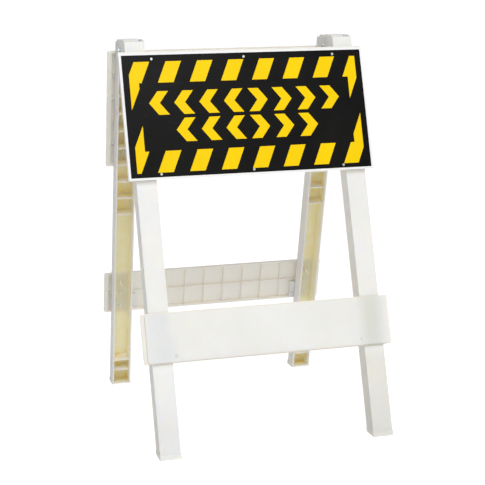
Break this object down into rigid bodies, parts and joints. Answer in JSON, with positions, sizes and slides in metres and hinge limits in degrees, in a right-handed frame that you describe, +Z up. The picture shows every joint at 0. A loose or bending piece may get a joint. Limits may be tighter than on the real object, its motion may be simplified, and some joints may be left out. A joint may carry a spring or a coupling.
{
  "type": "folding a-frame traffic barrier",
  "caption": "Folding white plastic A-frame barrier with channel legs, gridded cross rails and a black and yellow sign on its front upper rail.",
  "frame": {"origin": "on the ground, midway between the feet in X and Y", "axes": "+Z up; X along the rails, +X to the viewer's right facing the sign; the sign faces -Y"},
  "size_m": [0.6102, 0.6868, 0.9505],
  "materials": {
    "white_plastic": "satin moulded",
    "sign_white": "smooth sheet",
    "sheeting_black": "printed sheeting",
    "sheeting_yellow": "reflective sheeting",
    "rivet_aluminium": "bright",
    "white_painted_head": "white paint",
    "zinc_steel": "zinc plated"
  },
  "bodies": {
    "front_frame": {"front_left_leg": "white_plastic", "front_right_leg": "white_plastic", "front_upper_rail": "white_plastic", "front_lower_rail": "white_plastic", "sign_panel": "sign_white", "sign_sheeting": "sheeting_black", "sign_stripes": "sheeting_yellow", "sign_symbols": "sheeting_yellow", "sign_rivets": "rivet_aluminium", "sign_rivet_washers": "rivet_aluminium", "front_rail_rivets": "white_painted_head", "front_upper_screws": "white_painted_head", "front_lower_screws": "white_painted_head", "hinge_bolts": "zinc_steel", "hinge_nuts": "zinc_steel", "hinge_washers": "zinc_steel"},
    "rear_frame": {"rear_left_leg": "white_plastic", "rear_right_leg": "white_plastic", "rear_upper_rail": "white_plastic", "rear_lower_rail": "white_plastic", "rear_rail_rivets": "white_painted_head", "rear_upper_screws": "white_painted_head", "rear_lower_screws": "white_painted_head"}
  },
  "joints": [
    {"name": "fold", "type": "hinge", "parent": "front_frame", "child": "rear_frame", "pos_m": [0, 0, 0.922], "axis": [-1, 0, 0], "range_deg": [0, 33]}
  ]
}
